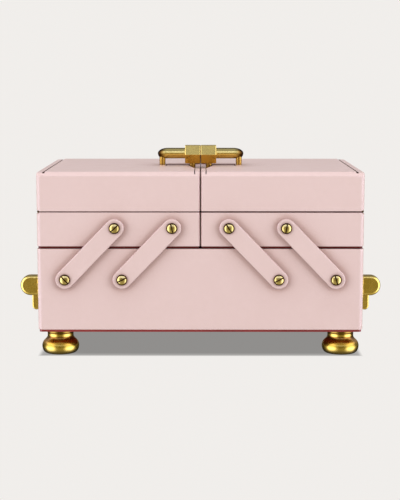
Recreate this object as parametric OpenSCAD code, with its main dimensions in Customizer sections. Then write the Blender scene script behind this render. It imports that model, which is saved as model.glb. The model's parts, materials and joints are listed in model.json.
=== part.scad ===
// Cantilever bobbin box: a lacquered base case on bun feet, with two lidded
// trays that swing up and outwards on parallel arms.
// Millimetres, +Z up, +X to the right, the front faces -Y.
// The origin is on the floor, under the middle of the box.

/* [Case] */
// Width of the closed box, end to end
box_w = 320; // [300:5:340]
// Depth of the box, front to back
box_d = 200; // [190:5:220]
// Height of the base case, with its bottom board
base_h = 82.7; // [78:0.1:96]
// Height of each tray, with its bottom board
tray_h = 35.6; // [33:0.1:45]
// Height of each lid
lid_h = 38.8; // [34:0.1:50]
// Thickness of the upright boards
wall_t = 6; // [6:0.5:8]
// Thickness of each lid's top board
top_t = 8; // [7:0.5:10]
// Rounding of the upright outer corners
corner_r = 3; // [1:0.5:5]
// Rounding of the lids' front and back top edges
brow_r = 5; // [2:0.5:6]
// Rounding of the lids' outer top edges
crown_r = 0.8; // [0.4:0.1:3]
// How far the strips along the lids' outer edges lie below their tops
end_strip_drop = 0.8; // [0.4:0.1:2]

/* [Gaps] */
// Gap between the two trays and between the two lids
seam_gap = 0.6; // [0.4:0.1:1.5]
// Gap between the base case and the closed trays
tray_gap = 0.5; // [0.4:0.1:1]
// Gap between each tray and its closed lid
lid_gap = 0.4; // [0.4:0.1:0.6]

/* [Bottom boards and dividers] */
// Thickness of the base bottom board under the walls
base_flange_t = 2.3; // [1.5:0.1:4]
// Thickness of the base bottom board between the walls
base_floor_t = 3.5; // [3:0.5:6]
// Thickness of the tray bottom boards under the walls
tray_flange_t = 1.9; // [1:0.1:2]
// Thickness of the tray bottom boards between the walls
tray_floor_t = 2.2; // [2:0.1:4]
// How far the bottom boards stop short of the outer faces
flange_inset = 1.2; // [0.5:0.1:2]
// Thickness of the tray dividers
divider_t = 4; // [3:0.5:6]
// Height of the tray dividers
divider_h = 22; // [15:1:25]

/* [Feet] */
// Height of the feet
foot_h = 24; // [23.5:0.5:30]
// Radius of the bun of each foot
bun_r = 18.4; // [16:0.1:19]
// Height of the bun's widest level
bun_mid_z = 7; // [6.5:0.1:8]
// Radius of the round section of the bun, above its middle
bun_section_r = 8; // [7:0.5:9]
// Radius of the tighter round section that the bun stands on
bun_heel_r = 4.6; // [4:0.1:6]
// Radius of the neck
foot_neck_r = 12.9; // [11:0.1:13]
// Radius of the collar above the neck
foot_collar_r = 13.7; // [13.2:0.1:15]
// Height of the collar's lower edge above the floor
foot_collar_z = 20.8; // [19:0.1:21]
// Distance of each foot's axis from the end and from the face of the box
foot_inset = 20; // [20:0.5:30]

/* [Arms] */
// Distance between an arm's two pivots
arm_len = 70.5; // [65:0.5:72]
// Lean of the closed arms from upright
arm_lean = 44; // [40:0.5:46]
// Width of the arms
arm_w = 18.6; // [16:0.2:20]
// Thickness of the arms
arm_t = 3; // [2:0.5:4]
// Distance between a tray's two pairs of arms
arm_pitch = 56; // [50:1:58]
// Distance of the outer arms' lower pivots from the end of the box
pivot_inset = 27.2; // [26:0.2:34]
// Height of the upper pivots above the bottom of the tray
upper_pivot_h = 20.1; // [18:0.1:21]
// Radius of the pivot screws' shanks
pivot_r = 2.5; // [2:0.1:3]
// Running clearance of the pivots, on the radius
pivot_play = 0.05; // [0.02:0.01:0.1]
// Clearance of the inner arms' upper pivots, on the radius
loose_pivot_play = 0.3; // [0.2:0.05:0.5]
// Radius of the screw heads
screw_head_r = 5.4; // [4.5:0.1:6]
// Height of the screw heads
screw_head_h = 2.4; // [2:0.1:3]
// Width of the screw slots
screw_slot_w = 1.3; // [1:0.1:1.6]
// Radius of the washers
washer_r = 7; // [6:0.1:8]
// Thickness of the washers
washer_t = 0.8; // [0.5:0.1:1.5]

/* [Top handles] */
// Distance from the middle of the box to the end of each bar
bar_reach = 44.6; // [42:0.1:60]
// Diameter of the bars
bar_d = 11.2; // [9:0.2:12]
// Height of the bars' axis above the lids
bar_rise = 12.1; // [12:0.1:14]
// Size of the hexagon sleeves across their flats
hex_flats = 18.7; // [15:0.1:19]
// How far the sleeves' middle lies below the bars' axis
hex_drop = 1; // [0:0.1:1.5]
// Length of each hexagon sleeve
hex_len = 15.9; // [15.5:0.1:20]
// Diameter of the posts
post_d = 6.4; // [5:0.1:6.4]
// Distance from the middle of the box to the inner posts
inner_post_x = 8.5; // [8:0.1:9]
// Depth of the recess between the lids, and of the grooves in their tops
well_depth = 3; // [2:0.1:4]
// Width of the recess, front to back, at its sides, and of the sunk panels beside it
well_w = 28; // [24:1:34]
// Width of the recess, front to back, at the seam
well_mouth_w = 106; // [90:2:120]

/* [Side handles] */
// Height of the lugs' centre above the floor
lug_z = 66.7; // [60:0.1:72]
// Radius of the lugs' round ends
lug_r = 10.2; // [9:0.1:12]
// Reach of the lugs from the end of the box
lug_reach = 20; // [18:0.2:24]
// Distance from the front or back of the box to the middle of the nearest lug
lug_inset = 28; // [25:1:35]
// Thickness of the lugs
lug_t = 11; // [8:0.5:12]
// Thickness of the backing plate
plate_t = 1; // [0.6:0.1:1]
// Thickness of the bail's arms
bail_arm_t = 7; // [5:0.5:8]
// Diameter of the bail's grip, and the width of its arms
grip_d = 8.4; // [6:0.1:8.4]
// Drop from the bail's pins to its grip
bail_drop = 22.3; // [20:0.1:26]
// Distance of the bail's pins from the end of the box
bail_pin_x = 5.6; // [5.6:0.1:7]

/* [Hidden] */
$fn = 64;
eps = 0.01;

// Colours
lacquer = [0.90, 0.79, 0.77];
red = [0.45, 0.08, 0.09];
brass = [0.76, 0.62, 0.27];

// Levels
base_z0 = foot_h;
base_wall_z0 = base_z0 + base_flange_t;
base_floor_z = base_wall_z0 + base_floor_t;
base_z1 = base_z0 + base_h;
tray_z0 = base_z1 + tray_gap;
tray_wall_z0 = tray_z0 + tray_flange_t;
tray_floor_z = tray_wall_z0 + tray_floor_t;
tray_z1 = tray_z0 + tray_h;
lid_z0 = tray_z1 + lid_gap;
lid_z1 = lid_z0 + lid_h;
lid_board_z = lid_z1 - top_t;

// Sloping shoulder between a foot's bun and its neck, each as [radius, height]
shoulder_low = [bun_r - 2.3, bun_mid_z + 5.4];
shoulder_high = [foot_neck_r, 16.8];

// Outlines
half_w = box_w / 2;
half_d = box_d / 2;
seam_x = seam_gap / 2;
seam_r = 1;
inside_x = half_w - wall_t;
inside_y = half_d - wall_t;

// Arm pivots, measured outwards from the middle of the box
arm_dx = arm_len * sin(arm_lean);
arm_dz = arm_len * cos(arm_lean);
lower_x = [half_w - pivot_inset, half_w - pivot_inset - arm_pitch];
upper_x = [lower_x[0] - arm_dx, lower_x[1] - arm_dx];
upper_z = tray_z0 + upper_pivot_h;
lower_z = upper_z - arm_dz;
axial_play = 0.1;
arm_y = washer_t + axial_play;
head_y = arm_y + arm_t + axial_play;
screw_tip = 0.5;
// Turns of the screw slots, outer then inner screw of each pair of arms
left_lower_turns = [-48, 27];
left_upper_turns = [43, -76];
right_lower_turns = [-75, 29];
right_upper_turns = [80, -57];

// Hinges between trays and lids
knuckle_r = 1.2;
hinge_pin_r = 0.6;
hinge_play = 0.05;
leaf_t = 0.6;
knuckles = 5;
knuckle_gap = 0.3;
rebate_w = 2.6;
tray_rebate = 1.6;
lid_rebate = 1.4;
hinge_x = half_w - rebate_w / 2;
hinge_z = (tray_z1 + lid_z0) / 2;
leaf_x = half_w - rebate_w;

// Lid decoration
groove_w = 1;
outer_groove_w = 2.4;
outer_groove_inset = 7.2;
outer_groove_x = half_w - outer_groove_inset;
end_strip_z = lid_z1 - end_strip_drop;
end_strip_edge_r = 0.4;
inner_groove_x = 5.5;
well_neck_x = 12.5;
panel_drop = 0.8;

// Top handles
bar_z = lid_z1 + bar_rise;
bar_r = bar_d / 2;
post_r = post_d / 2;
post_inset = 4.8;
outer_post_x = bar_reach - post_inset;
well_to_post = 0.3;
well_end_x = outer_post_x - post_r - well_to_post;
bar_entry = 4;
hex_x = seam_x + hex_len;
hex_z = bar_z - hex_drop;
hex_low_z = hex_z - hex_flats / 2;
fit_play = 0.05;
post_in_bar = 4.3;
post_in_hex = 4;
handle_screw_r = 1.2;
handle_screw_bite = 8;
handle_screw_slot = 0.6;
handle_screw_turns = [20, 70];

// Side handles
lug_pitch = box_d - 2 * lug_inset;
plate_overhang = 18;
plate_len = lug_pitch + 2 * plate_overhang;
plate_h = 2 * lug_r;
plate_screw_z = 5;
plate_screw_y = (lug_pitch + lug_t + plate_len) / 4;
plate_screw_r = 1.4;
plate_screw_slot = 0.6;
plate_screw_turn = 75;
// How much of the end board is left past a screw's tip
screw_skin = 1;
bail_gap = 0.4;
bail_pin_r = 2;
bail_arm_y = (lug_pitch - lug_t) / 2 - bail_gap;

// Screws that hold the feet
foot_screw_r = 3;
foot_screw_depth = 14;
foot_screw_slot = 1.6;
foot_screw_turn = 35;

// Screw heads: radius, height, and how far the top is domed
pivot_screw_head = [screw_head_r, screw_head_h, 1.6];
foot_screw_head = [5.5, 3, 1.5];
handle_screw_head = [2.1, 1.4, 0.8];
plate_screw_head = [2.6, 1.4, 0.8];
slot_deep = 1.1;

// Clearances of the holes that screws pass through, and beyond screws' tips
hole_play = 0.1;
loose_hole_play = 0.2;
// How far cutting shapes run past the faces they cut
past = 1;

// ---- Shared shapes. Halves are modelled on the right, where X is positive. ----

// A box between two opposite corners
module block(low, high) {
    translate(low) cube(high - low);
}

// A rectangle whose corners are rounded by r0 at x0 and by r1 at x1
module rounded_plan(x0, x1, y0, y1, r0, r1) {
    translate([x0 + r0, y0]) square([x1 - x0 - r0 - r1, y1 - y0]);
    translate([x0, y0 + r0]) square([r0 + eps, y1 - y0 - 2 * r0]);
    translate([x1 - r1 - eps, y0 + r1]) square([r1 + eps, y1 - y0 - 2 * r1]);
    for (y = [y0 + r0, y1 - r0]) translate([x0 + r0, y]) circle(r0);
    for (y = [y0 + r1, y1 - r1]) translate([x1 - r1, y]) circle(r1);
}

// A rectangle whose top corners are rounded by r0 at x0 and by r1 at x1
module rounded_top(x0, x1, y0, y1, r0, r1) {
    translate([x0 + r0, y0]) square([x1 - x0 - r0 - r1, y1 - y0]);
    translate([x0, y0]) square([r0 + eps, y1 - y0 - r0]);
    translate([x1 - r1 - eps, y0]) square([r1 + eps, y1 - y0 - r1]);
    translate([x0 + r0, y1 - r0]) circle(r0);
    translate([x1 - r1, y1 - r1]) circle(r1);
}

// Footprint of the right half: a tray or a lid
module half_plan() {
    rounded_plan(seam_x, half_w, -half_d, half_d, seam_r, corner_r);
}

// A rod along Y between two values of y
module rod_y(x, z, y0, y1, r) {
    translate([x, y0, z]) rotate([-90, 0, 0]) cylinder(h = y1 - y0, r = r);
}

// Both sides of the box: the right one as drawn, the left one mirrored
module both_sides() {
    children();
    mirror([1, 0, 0]) children();
}

// Front and back of the box: the front as drawn, the back mirrored
module front_and_back() {
    children();
    mirror([0, 1, 0]) children();
}

// ---- Screws ----

// A slotted screw along +Z: its head's seat is at z = 0, and its tip is at z = -len
module slotted_screw(head, shank_r, len, slot_w, turn) {
    head_r = head[0];
    head_h = head[1];
    dome = head[2];
    dome_r = (head_r * head_r + dome * dome) / (2 * dome);
    difference() {
        union() {
            intersection() {
                cylinder(h = head_h, r = head_r);
                translate([0, 0, head_h - dome_r]) sphere(r = dome_r);
            }
            translate([0, 0, -len]) cylinder(h = len + eps, r = shank_r);
        }
        rotate([0, 0, turn]) translate([-head_r - past, -slot_w / 2, head_h - slot_deep])
            cube([2 * (head_r + past), slot_w, slot_deep + past]);
    }
}

// A pivot screw in the front face at [x, z]
module pivot_screw(x, z, turn) {
    translate([x, -half_d - head_y, z]) rotate([90, 0, 0])
        slotted_screw(pivot_screw_head, pivot_r, head_y + wall_t - screw_tip, screw_slot_w, turn);
}

// The front and back pivot screws of one row, on the right-hand side
module screw_row(xs, z, turns) {
    front_and_back() for (i = [0, 1]) pivot_screw(xs[i], z, turns[i]);
}

module washer_row(xs, z) {
    front_and_back() for (x = xs) difference() {
        rod_y(x, z, -half_d - washer_t, -half_d, washer_r);
        rod_y(x, z, -half_d - washer_t - past, -half_d + past, pivot_r + hole_play);
    }
}

module lower_arm_screws() {
    color(brass) {
        screw_row(lower_x, lower_z, right_lower_turns);
        screw_row([-lower_x[0], -lower_x[1]], lower_z, left_lower_turns);
    }
}

module lower_arm_washers() {
    color(brass) both_sides() washer_row(lower_x, lower_z);
}

module right_upper_arm_screws() {
    color(brass) screw_row(upper_x, upper_z, right_upper_turns);
}

module left_upper_arm_screws() {
    color(brass) screw_row([-upper_x[0], -upper_x[1]], upper_z, left_upper_turns);
}

module upper_arm_washers() {
    color(brass) washer_row(upper_x, upper_z);
}

// The blind holes that take one row of pivot screws in a front panel
module screw_holes(xs, z) {
    for (x = xs) rod_y(x, z, -half_d - past, -half_d + wall_t - screw_tip + hole_play, pivot_r);
}

// ---- Base case ----

module base_long_panel() {
    color(lacquer) difference() {
        translate([0, 0, base_wall_z0]) linear_extrude(base_z1 - base_wall_z0) intersection() {
            rounded_plan(-half_w, half_w, -half_d, half_d, corner_r, corner_r);
            translate([-half_w, -half_d]) square([box_w, wall_t]);
        }
        both_sides() screw_holes(lower_x, lower_z);
    }
}

module base_end() {
    color(lacquer) difference() {
        block([inside_x, -inside_y, base_wall_z0], [half_w, inside_y, base_z1]);
        plate_screw_holes(hole_play);
    }
}

module base_bottom_board() {
    x = half_w - flange_inset;
    y = half_d - flange_inset;
    r = corner_r;
    color(red) difference() {
        union() {
            translate([0, 0, base_z0]) linear_extrude(base_flange_t) rounded_plan(-x, x, -y, y, r, r);
            block([-inside_x, -inside_y, base_z0], [inside_x, inside_y, base_floor_z]);
        }
        feet_axes() translate([0, 0, base_z0 - past])
            cylinder(h = base_floor_z - base_z0 + 2 * past, r = foot_screw_r + loose_hole_play);
    }
}

// ---- Feet ----

module feet_axes() {
    both_sides() front_and_back() translate([half_w - foot_inset, -half_d + foot_inset, 0]) children();
}

// One foot: a bun that stands on its heel, a shoulder, the neck and the collar
module foot() {
    section_x = bun_r - bun_section_r;
    heel_x = bun_r - bun_heel_r;
    color(brass) difference() {
        rotate_extrude() {
            intersection() {
                union() {
                    translate([section_x, bun_mid_z]) circle(bun_section_r);
                    translate([heel_x, bun_heel_r]) circle(bun_heel_r);
                    translate([0, bun_heel_r]) square([bun_r, bun_mid_z - bun_heel_r]);
                    square([section_x, bun_mid_z + bun_section_r]);
                    square([heel_x, bun_heel_r]);
                }
                square([bun_r + past, foot_h]);
            }
            polygon([[0, shoulder_low[1]], shoulder_low, shoulder_high, [0, shoulder_high[1]]]);
            square([foot_neck_r, foot_h]);
            translate([0, foot_collar_z]) square([foot_collar_r, foot_h - foot_collar_z]);
        }
        translate([0, 0, foot_h - foot_screw_depth])
            cylinder(h = foot_screw_depth + past, r = foot_screw_r);
    }
}

module foot_at(sx, sy) {
    translate([sx * (half_w - foot_inset), sy * (half_d - foot_inset), 0]) foot();
}

module foot_screws() {
    len = base_floor_z - foot_h + foot_screw_depth - screw_skin;
    color(brass) feet_axes() translate([0, 0, base_floor_z])
        slotted_screw(foot_screw_head, foot_screw_r, len, foot_screw_slot, foot_screw_turn);
}

// ---- Arms ----

// A flat arm with round ends from [x, lower_z] to [x - arm_dx, upper_z], on the right
module arm(x, upper_play) {
    y0 = -half_d - arm_y - arm_t;
    y1 = -half_d - arm_y;
    color(lacquer) difference() {
        union() {
            rod_y(x, lower_z, y0, y1, arm_w / 2);
            rod_y(x - arm_dx, upper_z, y0, y1, arm_w / 2);
            translate([x, y0, lower_z]) rotate([0, -arm_lean, 0])
                translate([-arm_w / 2, 0, 0]) cube([arm_w, arm_t, arm_len]);
        }
        rod_y(x, lower_z, y0 - past, y1 + past, pivot_r + pivot_play);
        rod_y(x - arm_dx, upper_z, y0 - past, y1 + past, pivot_r + upper_play);
    }
}

module outer_arm() {
    arm(lower_x[0], pivot_play);
}

module inner_arm() {
    arm(lower_x[1], loose_pivot_play);
}

// ---- Trays, drawn on the right ----

// The rebate for the hinge along the outer top edge
module tray_rebate() {
    block([leaf_x, -half_d - past, hinge_z - tray_rebate],
        [half_w + past, half_d + past, tray_z1 + past]);
}

module tray_long_panel() {
    color(lacquer) difference() {
        translate([0, 0, tray_wall_z0]) linear_extrude(tray_z1 - tray_wall_z0) intersection() {
            half_plan();
            translate([0, -half_d]) square([half_w, wall_t]);
        }
        tray_rebate();
        screw_holes(upper_x, upper_z);
    }
}

module tray_outer_end() {
    color(lacquer) difference() {
        block([inside_x, -inside_y, tray_wall_z0], [half_w, inside_y, tray_z1]);
        tray_rebate();
        block([inside_x - past, -inside_y - past, tray_z1 - leaf_t],
            [half_w, inside_y + past, tray_z1 + past]);
    }
}

module tray_inner_end() {
    color(lacquer) block([seam_x, -inside_y, tray_wall_z0], [seam_x + wall_t, inside_y, tray_z1]);
}

module tray_bottom_board() {
    x0 = seam_x + flange_inset;
    x1 = half_w - flange_inset;
    y = half_d - flange_inset;
    color(red) union() {
        translate([0, 0, tray_z0]) linear_extrude(tray_flange_t)
            rounded_plan(x0, x1, -y, y, seam_r, corner_r);
        block([seam_x + wall_t, -inside_y, tray_z0], [inside_x, inside_y, tray_floor_z]);
    }
}

module tray_divider() {
    color(lacquer) block([seam_x + wall_t, -divider_t / 2, tray_floor_z],
        [inside_x, divider_t / 2, tray_floor_z + divider_h]);
}

// ---- Hinges, drawn on the right ----

knuckle_len = (2 * inside_y - (knuckles - 1) * knuckle_gap) / knuckles;

// A leaf whose strip lies between z0 and z1, with the knuckles first, first + 2, ...
module hinge_leaf(z0, z1, first) {
    color(brass) difference() {
        union() {
            block([inside_x, -inside_y, z0], [leaf_x, inside_y, z1]);
            for (i = [first:2:knuckles - 1]) {
                y0 = -inside_y + i * (knuckle_len + knuckle_gap);
                rod_y(hinge_x, hinge_z, y0, y0 + knuckle_len, knuckle_r);
                block([leaf_x - eps, y0, z0], [hinge_x, y0 + knuckle_len, z1]);
            }
        }
        rod_y(hinge_x, hinge_z, -half_d, half_d, hinge_pin_r + hinge_play);
    }
}

module hinge_tray_leaf() {
    hinge_leaf(tray_z1 - leaf_t, tray_z1, 0);
}

module hinge_lid_leaf() {
    hinge_leaf(lid_z0, lid_z0 + leaf_t, 1);
}

module hinge_pin() {
    color(brass) rod_y(hinge_x, hinge_z, -inside_y, inside_y, hinge_pin_r);
}

// ---- Lids, drawn on the right ----

module lid_frame() {
    color(lacquer) difference() {
        translate([0, 0, lid_z0]) linear_extrude(lid_board_z - lid_z0) half_plan();
        block([seam_x + wall_t, -inside_y, lid_z0 - past],
            [inside_x, inside_y, lid_board_z + past]);
        block([leaf_x, -inside_y, lid_z0 - past], [half_w + past, inside_y, hinge_z + lid_rebate]);
        block([inside_x - past, -inside_y, lid_z0 - past],
            [leaf_x + past, inside_y, lid_z0 + leaf_t]);
    }
}

// Section of the lid's top board across its width, with the lower strip at its outer end
module lid_top_section() {
    rounded_top(seam_x, outer_groove_x, lid_board_z, lid_z1, seam_r, end_strip_edge_r);
    rounded_top(outer_groove_x - past, half_w, lid_board_z, end_strip_z, end_strip_edge_r, crown_r);
}

// Footprint of the recess under the hexagon sleeve, which widens towards the seam
module well_plan() {
    polygon([
        [0, -well_mouth_w / 2], [inner_groove_x, -well_mouth_w / 2],
        [well_neck_x, -well_w / 2], [well_neck_x, well_w / 2],
        [inner_groove_x, well_mouth_w / 2], [0, well_mouth_w / 2]
    ]);
}

// The slightly sunk panel under the bar, with a groove round three of its sides
module sunk_panel() {
    block([well_neck_x - eps, -well_w / 2, lid_z1 - panel_drop], [well_end_x, well_w / 2, lid_z1 + past]);
    front_and_back() block([well_neck_x - eps, -well_w / 2, lid_z1 - well_depth],
        [well_end_x, -well_w / 2 + groove_w, lid_z1 + past]);
    block([well_end_x - groove_w, -well_w / 2, lid_z1 - well_depth], [well_end_x, well_w / 2, lid_z1 + past]);
}

// A groove along Y in the lid's top
module groove(x, width, y0, y1) {
    block([x - width / 2, y0, lid_z1 - well_depth], [x + width / 2, y1, lid_z1 + past]);
}

module lid_top() {
    color(lacquer) difference() {
        intersection() {
            translate([0, 0, lid_board_z]) linear_extrude(top_t) half_plan();
            rotate([90, 0, 90]) linear_extrude(half_w + past)
                rounded_top(-half_d, half_d, lid_board_z, lid_z1, brow_r, brow_r);
            translate([0, half_d + past, 0]) rotate([90, 0, 0]) linear_extrude(box_d + 2 * past)
                lid_top_section();
        }
        translate([0, 0, lid_z1 - well_depth]) linear_extrude(well_depth + past) well_plan();
        sunk_panel();
        groove(outer_groove_x, outer_groove_w, -half_d - past, half_d + past);
        front_and_back() groove(inner_groove_x, groove_w, -half_d - past, -well_mouth_w / 2 + eps);
        for (x = [inner_post_x, outer_post_x]) translate([x, 0, lid_board_z - past])
            cylinder(h = top_t + 2 * past, r = handle_screw_r + loose_hole_play);
    }
}

// ---- Top handles, drawn on the right ----

module handle_bar() {
    dome_x = bar_reach - bar_r;
    color(brass) difference() {
        union() {
            translate([hex_x - bar_entry, 0, bar_z]) rotate([0, 90, 0])
                cylinder(h = dome_x - hex_x + bar_entry, r = bar_r);
            translate([dome_x, 0, bar_z]) sphere(r = bar_r);
        }
        translate([outer_post_x, 0, bar_z - bar_r - past])
            cylinder(h = post_in_bar + past, r = post_r);
    }
}

module handle_hex_sleeve() {
    color(brass) difference() {
        translate([seam_x, 0, hex_z]) rotate([0, 90, 0]) rotate([0, 0, 30])
            cylinder(h = hex_len, r = hex_flats / 2 / cos(30), $fn = 6);
        translate([hex_x - bar_entry - hole_play, 0, bar_z]) rotate([0, 90, 0])
            cylinder(h = bar_entry + hole_play + past, r = bar_r + fit_play);
        translate([inner_post_x, 0, hex_low_z - past])
            cylinder(h = post_in_hex + past, r = post_r);
    }
}

// One post from z0 to z1, with the threaded hole for its screw
module post(x, z0, z1) {
    difference() {
        translate([x, 0, z0]) cylinder(h = z1 - z0, r = post_r);
        translate([x, 0, z0 - past])
            cylinder(h = handle_screw_bite + loose_hole_play + past, r = handle_screw_r);
    }
}

module handle_posts() {
    color(brass) {
        post(inner_post_x, lid_z1 - well_depth, hex_low_z + post_in_hex);
        post(outer_post_x, lid_z1, bar_z - bar_r + post_in_bar);
    }
}

// A screw up through the lid's top board
module handle_screw(x, board_t, turn) {
    translate([x, 0, lid_board_z]) mirror([0, 0, 1]) slotted_screw(handle_screw_head,
        handle_screw_r, handle_screw_bite + board_t, handle_screw_slot, turn);
}

module handle_screws() {
    color(brass) {
        handle_screw(inner_post_x, top_t - well_depth, handle_screw_turns[0]);
        handle_screw(outer_post_x, top_t, handle_screw_turns[1]);
    }
}

// ---- Side handles, drawn on the right ----

// Outline of a lug: a bar with one round end, in the plane of X and Z
module lug_block(y0, y1) {
    round_x = half_w + lug_reach - lug_r;
    intersection() {
        rod_y(round_x, lug_z, y0, y1, lug_r);
        block([half_w, y0 - past, lug_z - lug_r], [half_w + lug_reach, y1 + past, lug_z + lug_r]);
    }
    block([half_w + eps, y0, lug_z - lug_r], [round_x, y1, lug_z + lug_r]);
}

module side_handle_plate() {
    color(brass) difference() {
        union() {
            block([half_w, -plate_len / 2, lug_z - plate_h / 2],
                [half_w + plate_t, plate_len / 2, lug_z + plate_h / 2]);
            front_and_back() lug_block(-(lug_pitch + lug_t) / 2, -(lug_pitch - lug_t) / 2);
        }
        front_and_back() rod_y(half_w + bail_pin_x, lug_z, -lug_pitch, 0, bail_pin_r);
        plate_screw_holes(loose_hole_play);
    }
}

// The places of the plate's wood screws: +Z points out of the plate there
module plate_screw_places() {
    front_and_back() for (z = [-plate_screw_z, plate_screw_z])
        translate([half_w + plate_t, -plate_screw_y, lug_z + z]) rotate([0, 90, 0]) children();
}

// The holes for them, wider than the screws by play on the radius
module plate_screw_holes(play) {
    depth = plate_t + wall_t - screw_skin + hole_play;
    plate_screw_places() translate([0, 0, -depth])
        cylinder(h = depth + past, r = plate_screw_r + play);
}

module side_handle_screws() {
    color(brass) both_sides() plate_screw_places() slotted_screw(plate_screw_head,
        plate_screw_r, plate_t + wall_t - screw_skin, plate_screw_slot, plate_screw_turn);
}

module bail() {
    x = half_w + bail_pin_x;
    z = lug_z - bail_drop;
    r = grip_d / 2;
    arm_inner_y = bail_arm_y - bail_arm_t;
    color(brass) difference() {
        union() {
            rod_y(x, z, -bail_arm_y, bail_arm_y, r);
            front_and_back() {
                rod_y(x, lug_z, -bail_arm_y, -arm_inner_y, r);
                block([x - r, -bail_arm_y, z], [x + r, -arm_inner_y, lug_z]);
            }
        }
        front_and_back() rod_y(x, lug_z, -lug_pitch, -arm_inner_y + past, bail_pin_r + pivot_play);
    }
}

// A pin through each lug into the bail, flush with the lug's outer face
module bail_pins() {
    color(brass) both_sides() front_and_back() rod_y(half_w + bail_pin_x, lug_z,
        -(lug_pitch + lug_t) / 2, -bail_arm_y + bail_arm_t, bail_pin_r);
}

// ---- The named sub-parts ----

module left() {
    mirror([1, 0, 0]) children();
}

module back() {
    mirror([0, 1, 0]) children();
}

base_long_panel();  // base_front_panel
back() base_long_panel();  // base_back_panel
left() base_end();  // base_left_end
base_end();  // base_right_end
base_bottom_board();
foot_at(-1, -1);  // foot_front_left
foot_at(1, -1);  // foot_front_right
foot_at(-1, 1);  // foot_back_left
foot_at(1, 1);  // foot_back_right
foot_screws();
lower_arm_screws();
lower_arm_washers();
left() side_handle_plate();  // left_side_handle_plate
side_handle_plate();  // right_side_handle_plate
left() bail();  // left_bail
bail();  // right_bail
bail_pins();
side_handle_screws();
left() outer_arm();  // left_front_outer_arm
left() inner_arm();  // left_front_inner_arm
left() back() outer_arm();  // left_back_outer_arm
left() back() inner_arm();  // left_back_inner_arm
outer_arm();  // right_front_outer_arm
inner_arm();  // right_front_inner_arm
back() outer_arm();  // right_back_outer_arm
back() inner_arm();  // right_back_inner_arm
left() tray_long_panel();  // left_tray_front_panel
left() back() tray_long_panel();  // left_tray_back_panel
left() tray_outer_end();  // left_tray_outer_end
left() tray_inner_end();  // left_tray_inner_end
left() tray_bottom_board();  // left_tray_bottom_board
left() tray_divider();  // left_tray_divider
tray_long_panel();  // right_tray_front_panel
back() tray_long_panel();  // right_tray_back_panel
tray_outer_end();  // right_tray_outer_end
tray_inner_end();  // right_tray_inner_end
tray_bottom_board();  // right_tray_bottom_board
tray_divider();  // right_tray_divider
left_upper_arm_screws();
right_upper_arm_screws();
left() upper_arm_washers();  // left_upper_arm_washers
upper_arm_washers();  // right_upper_arm_washers
left() hinge_tray_leaf();  // left_hinge_tray_leaf
left() hinge_lid_leaf();  // left_hinge_lid_leaf
left() hinge_pin();  // left_hinge_pin
hinge_tray_leaf();  // right_hinge_tray_leaf
hinge_lid_leaf();  // right_hinge_lid_leaf
hinge_pin();  // right_hinge_pin
left() lid_frame();  // left_lid_frame
left() lid_top();  // left_lid_top
lid_frame();  // right_lid_frame
lid_top();  // right_lid_top
left() handle_bar();  // left_handle_bar
left() handle_hex_sleeve();  // left_handle_hex_sleeve
left() handle_posts();  // left_handle_posts
left() handle_screws();  // left_handle_screws
handle_bar();  // right_handle_bar
handle_hex_sleeve();  // right_handle_hex_sleeve
handle_posts();  // right_handle_posts
handle_screws();  // right_handle_screws
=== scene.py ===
import json
import math

import bmesh
import bpy
from mathutils import Matrix, Vector

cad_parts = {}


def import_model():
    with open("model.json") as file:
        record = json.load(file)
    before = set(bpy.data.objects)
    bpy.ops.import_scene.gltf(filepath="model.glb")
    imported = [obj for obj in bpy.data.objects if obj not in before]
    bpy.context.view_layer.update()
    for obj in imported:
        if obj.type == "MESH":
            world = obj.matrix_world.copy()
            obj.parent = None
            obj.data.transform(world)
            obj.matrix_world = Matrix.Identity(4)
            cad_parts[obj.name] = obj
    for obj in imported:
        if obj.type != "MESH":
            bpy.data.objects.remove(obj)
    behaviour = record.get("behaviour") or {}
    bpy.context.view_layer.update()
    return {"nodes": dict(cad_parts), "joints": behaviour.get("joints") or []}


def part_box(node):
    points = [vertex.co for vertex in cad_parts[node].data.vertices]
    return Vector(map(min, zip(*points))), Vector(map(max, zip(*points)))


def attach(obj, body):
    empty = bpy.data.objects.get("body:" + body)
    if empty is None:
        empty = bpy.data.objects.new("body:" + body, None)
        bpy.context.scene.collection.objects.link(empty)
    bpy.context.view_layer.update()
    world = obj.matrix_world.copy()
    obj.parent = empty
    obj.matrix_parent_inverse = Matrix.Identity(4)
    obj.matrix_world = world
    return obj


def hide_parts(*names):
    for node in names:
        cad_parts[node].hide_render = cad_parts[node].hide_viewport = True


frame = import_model()

# Meshes are drawn in millimetres in the row frame, and scaled to metres as they are made.
MM = 0.001
# The right is towards +X, and the front towards -Y.
SIDES = {"left": -1, "right": 1}
FACES = {"front": 1, "back": -1}


# ---- Sizes read from the frame, in millimetres ----

def box_mm(node):
    low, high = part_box(node)
    return low / MM, high / MM


def pivot_mm(joint):
    found = next(j for j in frame["joints"] if j["name"] == joint)
    return Vector(found["pos_m"]) / MM


PANEL_LOW, PANEL_HIGH = box_mm("base_front_panel")
TRAY_LOW, TRAY_HIGH = box_mm("right_tray_front_panel")
LID_LOW = box_mm("right_lid_frame")[0]
TOP_LOW, TOP_HIGH = box_mm("right_lid_top")
PLATE_LOW, PLATE_HIGH = box_mm("right_side_handle_plate")
BAR_LOW, BAR_HIGH = box_mm("right_handle_bar")
HEX_LOW, HEX_HIGH = box_mm("right_handle_hex_sleeve")
FOOT_LOW, FOOT_HIGH = box_mm("foot_front_right")
BAIL_LOW, BAIL_HIGH = box_mm("right_bail")

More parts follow.
